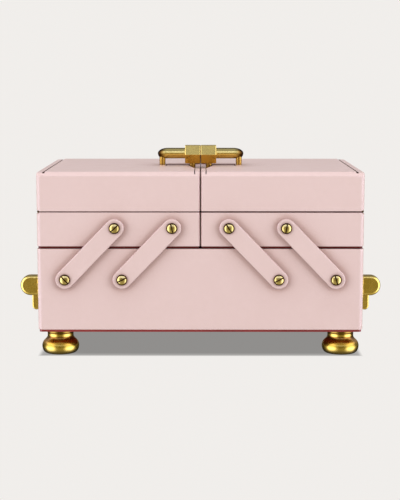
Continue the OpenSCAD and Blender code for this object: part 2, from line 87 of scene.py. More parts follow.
HALF_W = PANEL_HIGH.x
HALF_D = -PANEL_LOW.y
WALL = PANEL_HIGH.y - PANEL_LOW.y
SEAM = LID_LOW.x
INSIDE_X = HALF_W - WALL
INSIDE_Y = HALF_D - WALL
HINGE = pivot_mm("right_lid_hinge")
LOWER_PIVOTS = [pivot_mm("right_tray_swing"), pivot_mm("right_inner_arm_swing")]
ARM_SPAN = pivot_mm("right_tray_level") - LOWER_PIVOTS[0]
BUN_R = (FOOT_HIGH.x - FOOT_LOW.x) / 2
BAR_R = (BAR_HIGH.z - BAR_LOW.z) / 2
BAR_Z = (BAR_HIGH.z + BAR_LOW.z) / 2
HEX_R = (HEX_HIGH.z - HEX_LOW.z) / 2 / math.cos(math.radians(30))
HEX_Z = (HEX_HIGH.z + HEX_LOW.z) / 2
LUG_R = (PLATE_HIGH.z - PLATE_LOW.z) / 2
BAIL_PIVOT = pivot_mm("right_bail_swing")
BAIL_R = (BAIL_HIGH.x - BAIL_LOW.x) / 2
BAIL_DROP = BAIL_PIVOT.z - BAIL_LOW.z - BAIL_R


# ---- Other sizes, in millimetres ----

# Corners of the shells in plan, at the ends and the seam, and the least radius inside them.
CORNER_R = 4.5
SEAM_R = 2.2
LEAST_CORNER_R = 0.3
# The lids' sloping front and back edges, as distances in and drops, and their rounded ends.
BROW_DEEP = 4.8
BROW_DROP = 4
BROW_TRIM = 0.03
BROW_BULGE = 0.3
BROW_OUTWARD = (0.64, 0.77)
LOOPS_BELOW_BROW = (0.5, 0.12)
LOOPS_ABOVE_BROW = (0.15, 0.8)
CROWN_R = 2.5
SEAM_CROWN_R = 0.8
# How far the trays' and lids' rims stand back from the gap between them, and the shells from the seam.
EASE = {"left": 0.25, "right": 0.42}
SEAM_EASE = 0.2
# Rounded rims and edges.
INNER_RIM_R = 0.5
BASE_RIM_R = 0.5
TRAY_RIM_R = 0.45
FOOT_RIM_R = 0.4
LID_RIM_R = 0.35
SHELL_BEVEL = 0.25
DIVIDER_TOP_R = 1.2
# How far the red lining and the felt stop short of the faces round them.
LINING_EDGE = 0.3
FELT_INSET = 1.5
FELT_GAP = 0.03
SLEEVE_FELT_INSET = 0.5
# Room for the hinges' pins and leaves.
LEAF_X = HALF_W - 2.6
TRAY_REBATE = 1.6
LID_REBATE = 1.4
LEAF_T = 0.6
LEAF_LAP = 0.5
# The lids' grooves, the lowered strips at their outer ends, and the well under the handle.
GROOVE_W = 1
GROOVE_DEEP = 3
# The painted shade in the grooves starts this far below the top.
GROOVE_PAINT_TOP = 0.14
OUTER_GROOVE_X = HALF_W - 7.2
OUTER_GROOVE = (OUTER_GROOVE_X - 1.2, OUTER_GROOVE_X + 1.2)
OUTER_GROOVE_Y = HALF_D - 2.6
INNER_GROOVE_X = 5.5
INNER_GROOVE = (INNER_GROOVE_X - GROOVE_W / 2, INNER_GROOVE_X + GROOVE_W / 2)
INNER_GROOVE_Y = HALF_D - 1.6
END_STRIP_DROP = 0.8
PANEL_DROP = 0.8
WELL_Y = 14
WELL_MOUTH_Y = 53
WELL_NECK_X = 12.5
WELL_END_X = 36.3
# Cutters reach past the faces that they cut, and overlap by a hair where they meet.
PAST = 1
HAIR = 0.01
# Margins for the tests that pick faces by their centres.
MARGIN = 0.1
GROOVE_MARGIN = 0.06
RIM_MARGIN = 0.5
SEAM_MARGIN = 0.5

# How far the arms' two faces stand off the box, and the radii of their edges.
ARM_W = 18.6
ARM_FRONT = 3.9
ARM_BACK = 0.9
ARM_EDGE_R = 1.3
ARM_BACK_EDGE_R = 0.4

SCREW_R = 5.4
SCREW_H = 2.4
SCREW_DOME = 1.6
SCREW_EDGE = 0.15
SCREW_SHOULDER = 0.1
SCREW_BEVEL = 0.1
SCREW_GAP = 0.1
# Rings of the dome, as shares of the head's radius. One lies where its bright middle ends and the
# painted shade on its rim begins.
SCREW_BRIGHT = 0.79
SCREW_RINGS = (0.985, 0.94, 0.89, SCREW_BRIGHT, 0.74, 0.68, 0.6, 0.48, 0.34, 0.18, 0.004)
SLOT_W = 1.3
SLOT_DEEP = 1.1
SLOT_MARGIN = 0.02
SLOT_DARK_H = 0.7
# How far the slots are turned, in degrees, on the outer and the inner arm.
SCREW_TURNS = {
    "left_lower": (-48, 27),
    "left_upper": (43, -76),
    "right_lower": (-75, 29),
    "right_upper": (80, -57),
}

# Radii at which solids end on their axis: the feet, and the posts and bars.
AXIS_R = 0.01
TIP_R = 0.02
BUN_FLAT_R = 13.8
BUN_WAIST_Z = 7
BUN_SECTION = 8
BUN_TOP_TURN = 47
FOOT_NECK_R = 12.9
FOOT_NECK_Z = 17.3
SHOULDER_BEND = 1.9
NECK_GROOVE = ((0, -0.5), (-0.35, -0.2), (0, 0))
FOOT_COLLAR_R = 13.7
COLLAR_Z = 20.8
COLLAR_EDGE_R = 0.8

BAR_END_TOP = 10.5
BAR_END_LOW = 5
BAR_END_WIDE = 12
HEX_SEAM_EASE = 0.35
HEX_END_EASE = 0.5
HEX_BEVEL = 0.35
POST_R = 3.2
POST_SHAFT_R = POST_R - 0.05
POST_FOOT = ((TIP_R, 0), (POST_R, 0), (POST_R, 0.35), (POST_R - 0.25, 0.6), (POST_SHAFT_R, 0.9))
POST_X = (8.5, 39.8)
POST_IN_SLEEVE = 3
POST_UNDER_AXIS = 1.5

LUG_T = 11
LUG_Y = 72
LUG_EDGE_R = 3
PLATE_T = 1
PLATE_BEVEL = 0.7
PIN_EDGE = 0.25
PIN_SUNK = 0.02
BAIL_ARM_T = 7
BAIL_ARM_Y = BAIL_HIGH.y - BAIL_ARM_T / 2
BAIL_EDGE_R = 1.4
GRIP_TAPER = 0.6


# ---- Mesh building ----

def bridge(bm, ring_a, ring_b):
    count = len(ring_a)
    for i in range(count):
        j = (i + 1) % count
        bm.faces.new((ring_a[i], ring_a[j], ring_b[j], ring_b[i]))


def loft(bm, rings, closed=False):
    """A skin through rings of points: a solid with flat ends, or a closed loop of rings."""
    rows = [[bm.verts.new(p) for p in ring] for ring in rings]
    for ring_a, ring_b in zip(rows, rows[1:]):
        bridge(bm, ring_a, ring_b)
    if closed:
        bridge(bm, rows[-1], rows[0])
    else:
        bm.faces.new(rows[0])
        bm.faces.new(rows[-1])


def lofted(rings, k=1, closed=False):
    """A loft as a mesh of its own, mirrored where k is -1."""
    bm = bmesh.new()
    loft(bm, [[(k * x, y, z) for x, y, z in ring] for ring in rings], closed)
    return bm


def arc(cx, cy, radius, start, end, steps):
    """Points on a circular arc, with angles in degrees."""
    angles = [math.radians(start + (end - start) * i / steps) for i in range(steps + 1)]
    return [(cx + radius * math.cos(a), cy + radius * math.sin(a)) for a in angles]


def rectangle(x0, x1, y0, y1):
    return [(x0, y0), (x1, y0), (x1, y1), (x0, y1)]


def plan_ring(x0, x1, y0, y1, r0, r1, z, steps=6):
    """A level rounded rectangle: r0 rounds its corners at x0, and r1 those at x1."""
    points = arc(x1 - r1, y1 - r1, r1, 0, 90, steps)
    points += arc(x0 + r0, y1 - r0, r0, 90, 180, steps)
    points += arc(x0 + r0, y0 + r0, r0, 180, 270, steps)
    points += arc(x1 - r1, y0 + r1, r1, 270, 360, steps)
    return [(x, y, z) for x, y in points]


def lathe(bm, profile, centre=(0, 0, 0), steps=48):
    """Turns a profile of (radius, height) points about the vertical line through centre."""
    cx, cy, cz = centre
    turn = [2 * math.pi * i / steps for i in range(steps)]
    rings = []
    for radius, height in profile:
        rings.append([(cx + radius * math.cos(a), cy + radius * math.sin(a), cz + height) for a in turn])
    loft(bm, rings)


def prism(outline, z0, z1, k=1):
    """A solid with an outline of (x, y) points between two levels, mirrored where k is -1."""
    return lofted([[(x, y, z) for x, y in outline] for z in (z0, z1)], k)


def side_block(k, low, high):
    """A block drawn on the right, mirrored for the left."""
    x0, x1 = sorted((k * low[0], k * high[0]))
    return prism(rectangle(x0, x1, low[1], high[1]), low[2], high[2])


def add_mesh(bm, other):
    """Moves a mesh that is being built into another one."""
    part = bpy.data.meshes.new("part")
    other.to_mesh(part)
    other.free()
    bm.from_mesh(part)
    bpy.data.meshes.remove(part)


def mesh_object(name, bm):
    """Makes an object from a mesh drawn in millimetres."""
    bmesh.ops.recalc_face_normals(bm, faces=bm.faces)
    bmesh.ops.scale(bm, vec=(MM, MM, MM), verts=bm.verts)
    mesh = bpy.data.meshes.new(name)
    bm.to_mesh(mesh)
    bm.free()
    obj = bpy.data.objects.new(name, mesh)
    bpy.context.scene.collection.objects.link(obj)
    return obj


def bake_modifiers(obj):
    """Replaces an object's mesh by the result of its modifiers."""
    bpy.context.view_layer.update()
    depsgraph = bpy.context.evaluated_depsgraph_get()
    mesh = bpy.data.meshes.new_from_object(obj.evaluated_get(depsgraph))
    obj.modifiers.clear()
    obj.data = mesh


def cut(obj, cutters):
    """Cuts meshes drawn in millimetres out of an object."""
    tools = [mesh_object(obj.name + "_cutter", bm) for bm in cutters]
    for tool in tools:
        boolean = obj.modifiers.new("cut", "BOOLEAN")
        boolean.operation = "DIFFERENCE"
        boolean.solver = "EXACT"
        boolean.object = tool
    bake_modifiers(obj)
    for tool in tools:
        bpy.data.objects.remove(tool)


def shade_smooth(obj):
    """Shades a piece smoothly, apart from its sharp edges."""
    obj.data.shade_smooth()
    obj.data.set_sharp_from_angle(angle=math.radians(40))


def soften(obj, width=0.0, angle=50, segments=2):
    """Rounds the sharp edges by width millimetres, and shades the piece smoothly between them."""
    if width:
        bevel = obj.modifiers.new("bevel", "BEVEL")
        bevel.width = width * MM
        bevel.segments = segments
        bevel.limit_method = "ANGLE"
        bevel.angle_limit = math.radians(angle)
        bevel.miter_outer = "MITER_ARC"
        bake_modifiers(obj)
    shade_smooth(obj)
    weighted = obj.modifiers.new("normals", "WEIGHTED_NORMAL")
    weighted.keep_sharp = True
    weighted.weight = 100
    bake_modifiers(obj)


def dress(obj, body, materials, nodes):
    """Gives a piece its materials, its body and the CAD nodes that it stands for."""
    for material in materials:
        obj.data.materials.append(material)
    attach(obj, body)
    if nodes:
        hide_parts(*nodes)


def piece(name, bm, body, material, node=None):
    """A piece of one material without bevels, which stands for one CAD node or none."""
    obj = mesh_object(name, bm)
    soften(obj)
    dress(obj, body, [material], [node] if node else [])


def paint_faces(obj, inside, index):
    """Gives material number index to the faces whose centres, in millimetres, pass a test."""
    for face in obj.data.polygons:
        if inside(face.center / MM):
            face.material_index = index


# ---- Nodes of materials and of the world: owner is either ----

def add_node(owner, kind, **settings):
    node = owner.node_tree.nodes.new(kind)
    for key, value in settings.items():
        setattr(node, key, value)
    return node


def link(owner, source, target):
    owner.node_tree.links.new(source, target)


def set_inputs(node, values):
    for name, value in values.items():
        node.inputs[name].default_value = value


def feed(owner, value, socket):
    """Links a socket to another one, or sets it to a colour or number."""
    if isinstance(value, bpy.types.NodeSocket):
        link(owner, value, socket)
    elif isinstance(value, (tuple, list)):
        socket.default_value = (*value, 1)
    else:
        socket.default_value = value


def axes(owner, kind="Object"):
    """The X, Y and Z of one kind of coordinates."""
    coordinates = add_node(owner, "ShaderNodeTexCoord")
    split = add_node(owner, "ShaderNodeSeparateXYZ")
    link(owner, coordinates.outputs[kind], split.inputs["Vector"])
    return split.outputs


def math_node(owner, operation, *values):
    node = add_node(owner, "ShaderNodeMath", operation=operation)
    for socket, value in zip(node.inputs, values):
        feed(owner, value, socket)
    return node.outputs[0]


def remap(owner, value, low, high, to_low=0, to_high=1, smooth=False):
    """Turns the range from low to high into another one, and holds what lies beyond at its ends."""
    node = add_node(owner, "ShaderNodeMapRange")
    if smooth:
        node.interpolation_type = "SMOOTHSTEP"
    set_inputs(node, {"From Min": low, "From Max": high, "To Min": to_low, "To Max": to_high})
    link(owner, value, node.inputs["Value"])
    return node.outputs["Result"]


def colour_socket(sockets, name):
    """The colour socket of a Mix node: several of its sockets share each name."""
    return next(s for s in sockets if s.name == name and s.type == "RGBA")


def mix_colours(owner, factor, colour_a, colour_b, blend="MIX"):
    """A mix of two colours. The factor and the colours are values, or sockets that give them."""
    node = add_node(owner, "ShaderNodeMix", data_type="RGBA", blend_type=blend)
    feed(owner, factor, node.inputs["Factor"])
    feed(owner, colour_a, colour_socket(node.inputs, "A"))
    feed(owner, colour_b, colour_socket(node.inputs, "B"))
    return colour_socket(node.outputs, "Result")


def colour_ramp(owner, value, stops, unit=1):
    """Colours that change with a value: stops are (value in a unit, colour) pairs."""
    first, last = stops[0][0], stops[-1][0]
    ramp = add_node(owner, "ShaderNodeValToRGB")
    link(owner, remap(owner, value, first * unit, last * unit), ramp.inputs["Fac"])
    elements = ramp.color_ramp.elements
    for position, colour in stops[1:-1]:
        elements.new((position - first) / (last - first))
    for element, (position, colour) in zip(elements, stops):
        element.position = (position - first) / (last - first)
        element.color = (*colour, 1)
    return ramp.outputs["Color"]


# ---- Materials ----

# Two tones that each material is mottled with.
PINK_TONES = ((0.755, 0.576, 0.564), (0.735, 0.553, 0.54))
# Painted shade for the lids' grooves and recess walls.
GROOVE_SHADE_TONES = ((0.2, 0.105, 0.085), (0.15, 0.075, 0.06))
RED_TONES = ((0.215, 0.013, 0.014), (0.315, 0.03, 0.026))
RED_SHADE = (0.175, 0.011, 0.012)
# Dark felt, which is partly painted shade in the seams.
FELT_AND_SHADE_TONES = ((0.05, 0.022, 0.016), (0.085, 0.04, 0.03))
BRASS_TONES = ((0.78, 0.545, 0.115), (0.7, 0.47, 0.085))
BAR_TONES = ((0.8, 0.6, 0.17), (0.74, 0.53, 0.13))
SLEEVE_TONES = ((0.96, 0.68, 0.16), (0.92, 0.64, 0.145))
SCREW_TONES = ((0.62, 0.46, 0.14), (0.52, 0.38, 0.1))
# Painted shade for the screws' rims and slots.
SHADE_PAINTED_BRASS_TONES = ((0.06, 0.028, 0.008), (0.04, 0.018, 0.005))
# Painted shade for the hinges in the gap.
HINGE_SHADE_TONES = ((0.16, 0.085, 0.03), (0.1, 0.05, 0.02))

# Lacquer is shaded by what stands close before it: how near, in millimetres, how open it still is where
# the shade is full, and the tint there.
SHADE_REACH = 28
SHADE_FULL = 0.86
RECESS_SHADE = (0.77, 0.7, 0.67)

# Tints that multiply the brass along a height or an axis, in millimetres: painted reflections and
# painted shade on the feet, the bars and the sleeves, and a darker tone along the posts.
NO_TINT = (1, 1, 1)
# The feet's lighter and darker bands by height are painted reflections and painted shade.
FOOT_PAINTED_REFLECTIONS = [
    (0, (0.12, 0.12, 0.08)), (2, (0.22, 0.2, 0.14)), (4, (0.4, 0.38, 0.3)),
    (5.5, (0.66, 0.63, 0.52)), (6.8, (0.92, 0.9, 0.78)), (8.3, (0.6, 0.56, 0.26)),
    (9.2, (0.36, 0.32, 0.12)), (10.4, (0.52, 0.44, 0.17)), (11.8, (0.9, 0.62, 0.22)),
    (13.5, (0.9, 0.58, 0.18)), (14.5, (0.5, 0.3, 0.09)), (16, (0.25, 0.15, 0.04)),
    (17.2, (0.3, 0.18, 0.05)), (18, (0.9, 0.85, 0.7)), (19.3, (0.8, 0.75, 0.6)),
    (20.2, (0.3, 0.24, 0.08)), (24, (0.25, 0.2, 0.07)),
]
# The bars darken towards their ends: painted shade on their reflections.
BAR_END_PAINTED_SHADE = [
    (0, NO_TINT), (BAR_HIGH.x - 10, NO_TINT), (BAR_HIGH.x - 8, (0.8, 0.8, 0.78)),
    (BAR_HIGH.x - 6.2, (0.5, 0.46, 0.42)), (BAR_HIGH.x - 4.8, (0.22, 0.16, 0.12)),
    (BAR_HIGH.x - 2.8, (0.04, 0.02, 0.01)), (BAR_HIGH.x, (0.015, 0.008, 0.004)),
]
# The bars are darker below their middle, with a lighter band: painted shade.
PAINTED_SHADE_UNDER_BAR = [
    (BAR_LOW.z, (0.35, 0.26, 0.15)), (BAR_LOW.z + 1.2, (0.74, 0.68, 0.52)),
    (BAR_Z - 2.5, (0.97, 0.92, 0.7)), (BAR_Z - 1.2, (0.82, 0.76, 0.5)),
    (BAR_Z - 0.4, (0.85, 0.8, 0.66)), (BAR_Z + 0.4, NO_TINT),
]
# The sleeves are darker below their middle: painted shade.
PAINTED_SHADE_UNDER_SLEEVE = [
    (HEX_LOW.z, (0.72, 0.64, 0.28)), (HEX_Z - 0.4, (0.76, 0.66, 0.32)), (HEX_Z + 0.4, NO_TINT),
]
# The posts are darker along their height.
POST_DARKENING = [(TOP_HIGH.z - 4, (0.5, 0.4, 0.25)), (TOP_HIGH.z + 8, (0.55, 0.45, 0.3))]

# Stretches of the noise: below 1 along an axis, it draws lines that way.
EVEN = (1, 1, 1)
GRAIN_X = (0.15, 1, 1)
GRAIN_Z = (1, 1, 0.2)
BRUSHED = (0.12, 1, 6)
LINES_ROUND_X = (1, 0.02, 0.02)
LINES_ROUND_Z = (0.02, 0.02, 1)
LINES_Y = (1, 0.02, 1)
HINGE_LINES_Y = (1, 0.05, 1)


def new_material(name):
    material = bpy.data.materials.new(name)
    material.use_nodes = True
    return material, material.node_tree.nodes["Principled BSDF"]


def object_noise(material, scale, detail, stretch=EVEN, offset=(0, 0, 0)):
    """Noise over the piece's own coordinates, with features of about 1 / scale metres."""
    coordinates = add_node(material, "ShaderNodeTexCoord")
    mapping = add_node(material, "ShaderNodeMapping")
    noise = add_node(material, "ShaderNodeTexNoise")
    set_inputs(mapping, {"Scale": stretch, "Location": offset})
    set_inputs(noise, {"Scale": scale, "Detail": detail})
    link(material, coordinates.outputs["Object"], mapping.inputs["Vector"])
    link(material, mapping.outputs["Vector"], noise.inputs["Vector"])
    return noise.outputs["Fac"]


def mottling(material, scale, detail, low=0.3, high=0.7, spread=(0, 1), **placing):
    """Object noise, with its range from low to high spread over another one."""
    return remap(material, object_noise(material, scale, detail, **placing), low, high, *spread)


def bump(material, height, strength, distance_mm, below=None):
    node = add_node(material, "ShaderNodeBump")
    set_inputs(node, {"Strength": strength, "Distance": distance_mm * MM})
    link(material, height, node.inputs["Height"])
    if below is not None:
        link(material, below, node.inputs["Normal"])
    return node.outputs["Normal"]


def wire(material, shader, colour, rough, normal, values):
    """Links a material's colour, roughness and normal to its shader, and sets other inputs."""
    for name, source in (("Base Color", colour), ("Roughness", rough), ("Normal", normal)):
        feed(material, source, shader.inputs[name])
    set_inputs(shader, values)
    return material


def lacquer_material(name, tones, rough_range, coat):
    """Sprayed and rubbed lacquer on board, with soft mottling, faint brush lines and orange peel. It is
    softly shaded where something stands close before it, such as beside the arms."""
    material, shader = new_material(name)
    light, dark = tones
    cloudy = mix_colours(material, mottling(material, 9, 3), light, dark)
    speck = [0.55 * a + 0.45 * b for a, b in zip(light, dark)]
    bright = [min(1, 1.015 * c) for c in light]
    pale = mix_colours(material, mottling(material, 160, 4, 0.35, 0.75), speck, bright)
    half = mottling(material, 45, 2, offset=(3, 1, 2))
    open_colour = mix_colours(material, half, cloudy, pale)
    shaded = [[s * c for s, c in zip(RECESS_SHADE, tone)] for tone in tones]
    closed_colour = mix_colours(material, half, *shaded)
    occlusion = add_node(material, "ShaderNodeAmbientOcclusion", samples=8)
    set_inputs(occlusion, {"Distance": SHADE_REACH * MM})
    openness = remap(material, occlusion.outputs["AO"], SHADE_FULL, 1)
    colour = mix_colours(material, openness, closed_colour, open_colour)
    rough = mottling(material, 70, 4, spread=rough_range, offset=(7, 5, 1))
    lines = bump(material, object_noise(material, 90, 3, BRUSHED), 0.1, 0.05)
    peel = bump(material, object_noise(material, 750, 2), 0.1, 0.04, lines)
    return wire(material, shader, colour, rough, peel, {
        "Coat Weight": coat, "Coat Roughness": 0.18, "IOR": 1.46, "Specular IOR Level": 0.4})


def red_material(name, rough_range, grain, depth=1.0):
    """Dark red lacquer, thin enough that the grain of the board shows. A lower depth gives a
    darker copy with less gloss: painted shade.
    """
    material, shader = new_material(name)
    dark, light, shade = [[depth * c for c in colour] for colour in (*RED_TONES, RED_SHADE)]
    along = mix_colours(material, mottling(material, 40, 5, stretch=grain), dark, light)
    colour = mix_colours(material, mottling(material, 14, 2, 0.35), along, shade)
    rough = mottling(material, 120, 3, spread=rough_range, stretch=grain)
    relief = bump(material, object_noise(material, 260, 4, grain), 0.18, 0.08)
    return wire(material, shader, colour, rough, relief, {
        "Coat Weight": 0.2 * depth, "Coat Roughness": 0.25, "Specular IOR Level": 0.5 * depth})


def shade_along(material, colour, axis, stops):
    """Multiplies a colour by tints along an object axis: stops are (millimetres, tint) pairs, measured
    either way from the middle, so that left and right match."""
    distance = math_node(material, "ABSOLUTE", axes(material)[axis])
    return mix_colours(material, 1, colour, colour_ramp(material, distance, stops, MM), "MULTIPLY")


def brass_material(
        name, lines=EVEN, shades=(), tones=BRASS_TONES, rough_range=(0.22, 0.3), coat=0.3):
    """Lacquered brass with a slightly aged tone, handling marks and fine lines along its turning."""
    material, shader = new_material(name)
    colour = mix_colours(material, mottling(material, 45, 3, 0.35, 0.68), *tones)
    specks = mottling(material, 700, 2, 0.74, 0.84, offset=(1, 4, 2))
    colour = mix_colours(material, specks, colour, [0.8 * c for c in tones[1]])
    for axis, stops in shades:
        colour = shade_along(material, colour, axis, stops)
    rough = mottling(material, 130, 4, spread=rough_range, offset=(2, 9, 5))
    turned = bump(material, object_noise(material, 420, 2, lines), 0.05, 0.02)
    dents = bump(material, object_noise(material, 90, 2, offset=(5, 2, 8)), 0.04, 0.06, turned)
    return wire(material, shader, colour, rough, dents, {
        "Metallic": 1, "Coat Weight": coat, "Coat Roughness": 0.12})


def felt_material(name):
    """Thin brown felt with a fuzzy surface, whose dark colour also stands in for shade in the seams:
    painted shade.
    """
    material, shader = new_material(name)
    colour = mix_colours(material, mottling(material, 900, 3), *FELT_AND_SHADE_TONES)
    fuzz = bump(material, object_noise(material, 1500, 2), 0.4, 0.1)
    return wire(material, shader, colour, 0.95, fuzz, {})


PINK = lacquer_material("pink_lacquer_satin", PINK_TONES, (0.34, 0.46), 0.25)
# Dark lacquer in the lids' grooves and on the walls of the recess: painted shade.
GROOVE = lacquer_material("lacquer_painted_shade_in_grooves", GROOVE_SHADE_TONES, (0.45, 0.6), 0.1)
RED = red_material("red_board_lacquer", (0.38, 0.52), GRAIN_X)
# A darker copy of the red lacquer for the trays' bottom boards: painted shade.
TRAY_RED_SHADED = red_material("red_tray_board_painted_shade", (0.42, 0.55), GRAIN_X, 0.4)
LINING = red_material("red_inside_lacquer", (0.48, 0.62), GRAIN_Z)
CAST = brass_material("cast_brass_polished")
TURNED = brass_material("turned_brass_upright", LINES_ROUND_Z)
FOOT_BRASS = brass_material("turned_brass_feet", LINES_ROUND_Z, [("Z", FOOT_PAINTED_REFLECTIONS)])
POST_BRASS = brass_material("turned_brass_posts", LINES_ROUND_Z, [("Z", POST_DARKENING)])
BAR_BRASS = brass_material(
    "turned_brass_bars", LINES_ROUND_X, [("X", BAR_END_PAINTED_SHADE), ("Z", PAINTED_SHADE_UNDER_BAR)],
    BAR_TONES, (0.2, 0.28), coat=0)
HEX_BRASS = brass_material(
    "milled_brass_sleeves", LINES_ROUND_X, [("Z", PAINTED_SHADE_UNDER_SLEEVE)], SLEEVE_TONES, (0.24, 0.32))
TURNED_X = brass_material("turned_brass_level", LINES_ROUND_X, rough_range=(0.2, 0.28))
TURNED_Y = brass_material("turned_brass_screws", LINES_Y, (), SCREW_TONES, (0.2, 0.28))
FELT_AND_SHADE = felt_material("dark_felt_and_painted_shade")
# Dark brass for the screws' rims and slots: painted shade.
SHADE_PAINTED_BRASS = brass_material("brass_painted_shade", EVEN, (), SHADE_PAINTED_BRASS_TONES, (0.5, 0.65), coat=0)
# Dark brass for the hinges, which sit in the gap between tray and lid: painted shade.
HINGE_SHADE_BRASS = brass_material("brass_hinge_painted_shade", HINGE_LINES_Y, (), HINGE_SHADE_TONES, (0.4, 0.55))


# ---- Lacquered shells ----

def wall_section(z0, z1, foot_r, rim_r):
    """The section of a wall as (distance in from the outer face, height) points, round the loop."""
    section = arc(foot_r, z0 + foot_r, foot_r, 270, 180, 4)
    section += arc(rim_r, z1 - rim_r, rim_r, 180, 90, 5)
    section += arc(WALL - INNER_RIM_R, z1 - INNER_RIM_R, INNER_RIM_R, 90, 0, 4)
    section += [(WALL, z0)]
    return section


def wall_rings(x0, x1, r0, r1, section):
    """A level ring for each point of a wall's section, with corner radii r0 at x0 and r1 at x1."""
    rings = []
    for inset, z in section:
        y = HALF_D - inset
        ring_r0 = max(r0 - inset, LEAST_CORNER_R)
        ring_r1 = max(r1 - inset, LEAST_CORNER_R)
        rings.append(plan_ring(x0 + inset, x1 - inset, -y, y, ring_r0, ring_r1, z))
    return rings


def end_cutter(k, x0, z0, z1):
    """A cutter that reaches from x0 past the front, the back and the outer end."""
    return side_block(k, (x0, -HALF_D - PAST, z0), (HALF_W + PAST, HALF_D + PAST, z1))


def leaf_seat(k, z0, z1):
    return side_block(k, (INSIDE_X - PAST, -INSIDE_Y, z0), (LEAF_X + LEAF_LAP, INSIDE_Y, z1))


def base_case():
    section = wall_section(PANEL_LOW.z, PANEL_HIGH.z, FOOT_RIM_R, BASE_RIM_R)
    rings = wall_rings(-HALF_W, HALF_W, CORNER_R, CORNER_R, section)
    obj = mesh_object("base_case", lofted(rings, closed=True))
    soften(obj)
    paint_faces(obj, lambda c: abs(c.x) < INSIDE_X + MARGIN and abs(c.y) < INSIDE_Y + MARGIN, 1)
    nodes = ["base_front_panel", "base_back_panel", "base_left_end", "base_right_end"]
    dress(obj, "base", [PINK, LINING], nodes)


def lined(side):
    """A test for the faces inside a tray or lid, and of its rim up to LINING_EDGE from the outside. The
    red on the rims is partly lining and partly painted shade, which darkens the gap between tray and
    lid.
    """
    def inside(c):
        x, y = SIDES[side] * c.x, abs(c.y)
        between_walls = SEAM + WALL - MARGIN < x < INSIDE_X + MARGIN and y < INSIDE_Y + MARGIN
        in_gap = TRAY_HIGH.z - RIM_MARGIN < c.z < LID_LOW.z + RIM_MARGIN
        # The rims in the gap take the dark red too: partly lining, partly painted shade in the gap.
        at_rim = in_gap and x < HALF_W - LINING_EDGE and y < HALF_D - LINING_EDGE
        return between_walls and c.z < TOP_LOW.z + MARGIN or at_rim
    return inside


def tray_case(side):
    k = SIDES[side]
    z1 = TRAY_HIGH.z - EASE[side]
    section = wall_section(TRAY_LOW.z, z1, FOOT_RIM_R, TRAY_RIM_R)
    rings = wall_rings(SEAM + SEAM_EASE, HALF_W, SEAM_R, CORNER_R, section)
    obj = mesh_object(side + "_tray_case", lofted(rings, k, closed=True))
    rebate = end_cutter(k, LEAF_X, HINGE.z - TRAY_REBATE, z1 + PAST)
    cut(obj, [rebate, leaf_seat(k, z1 - LEAF_T, z1 + PAST)])
    soften(obj, SHELL_BEVEL)
    paint_faces(obj, lined(side), 1)
    nodes = [side + "_tray_" + name for name in ("front_panel", "back_panel", "outer_end", "inner_end")]
    dress(obj, side + "_tray", [PINK, LINING], nodes)


def round_inset(radius, drop):
    """How far a rounded edge has drawn in, at a given distance below the top."""
    return radius - math.sqrt(radius ** 2 - max(radius - drop, 0) ** 2)


def brow_profile(steps=8):
    """The sloping front and back edges of a lid, as (distance in, drop from the top) points."""
    points = [(0, BROW_DROP + below) for below in LOOPS_BELOW_BROW]
    for i in range(steps + 1):
        t = BROW_TRIM + (1 - 2 * BROW_TRIM) * i / steps
        bulge = BROW_BULGE * 4 * t * (1 - t)
        out, up = [bulge * share for share in BROW_OUTWARD]
        points.append((BROW_DEEP * t - out, BROW_DROP * (1 - t) - up))
    return points + [(BROW_DEEP + beyond, 0) for beyond in LOOPS_ABOVE_BROW]


def lid_rings(side):
    """Rings from the ceiling of the lid's hollow, round its rim, and up to its flat top."""
    z0, z1 = LID_LOW.z + EASE[side], TOP_HIGH.z
    rim = [(WALL, TOP_LOW.z), (WALL, z0 + INNER_RIM_R)]
    rim += arc(WALL - INNER_RIM_R, z0 + INNER_RIM_R, INNER_RIM_R, 360, 270, 4)[1:]
    rim += arc(LID_RIM_R, z0 + LID_RIM_R, LID_RIM_R, 270, 180, 4)
    rings = wall_rings(SEAM + SEAM_EASE, HALF_W, SEAM_R, CORNER_R, rim)
    for inset, drop in brow_profile():
        x0 = SEAM + SEAM_EASE + round_inset(SEAM_CROWN_R, drop)
        x1 = HALF_W - round_inset(CROWN_R, drop)
        y = HALF_D - inset
        rings.append(plan_ring(x0, x1, -y, y, SEAM_R, CORNER_R, z1 - drop))
    return rings


def well_outline():
    """Half of the recess between the lids, which widens towards the seam."""
    half = [(-PAST, -WELL_MOUTH_Y), (INNER_GROOVE_X, -WELL_MOUTH_Y), (WELL_NECK_X, -WELL_Y)]
    return half + [(x, -y) for x, y in reversed(half)]


def panel_outline():
    """The groove round three sides of the lowered panel under the bar."""
    start, end = WELL_NECK_X - 2 * HAIR, WELL_END_X
    inner = WELL_Y - GROOVE_W
    inside = rectangle(start, end - GROOVE_W, -inner, inner)
    return rectangle(start, end, -WELL_Y, WELL_Y) + inside[::-1]


